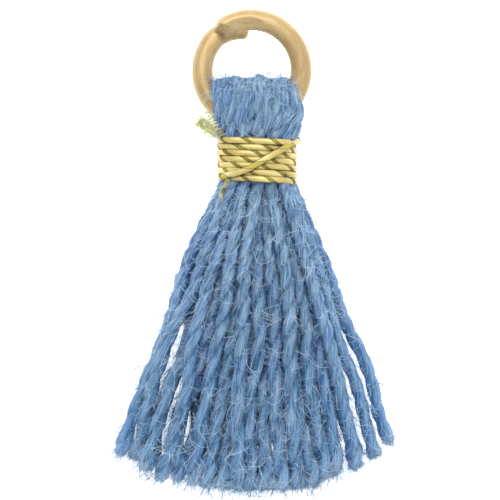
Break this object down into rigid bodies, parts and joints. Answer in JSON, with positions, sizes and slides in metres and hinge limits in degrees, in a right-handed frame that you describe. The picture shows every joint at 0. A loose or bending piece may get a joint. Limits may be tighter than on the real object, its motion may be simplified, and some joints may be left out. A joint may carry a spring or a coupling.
{
  "type": "tassel charm on an open jump ring",
  "caption": "small tassel of two-ply yarn folded over an open brass-coloured jump ring, its neck bound with foil-wrapped thread; it lies on its back",
  "frame": {"origin": "on the resting plane, under the middle of the thread binding", "axes": "+Y along the tassel towards the ring, +Z out of its front, +X to the right seen from the front"},
  "size_m": [0.0185, 0.0321, 0.005],
  "materials": {
    "brass_wire": "satin, faint drawing marks along the wire",
    "blue_yarn": "matt two-ply cotton-like yarn with loose hairs",
    "foil_thread": "pale gold foil strip wound round an olive core"
  },
  "bodies": {
    "root": {"ring": "brass_wire", "yarn": "blue_yarn", "binding": "foil_thread"}
  },
  "joints": []
}
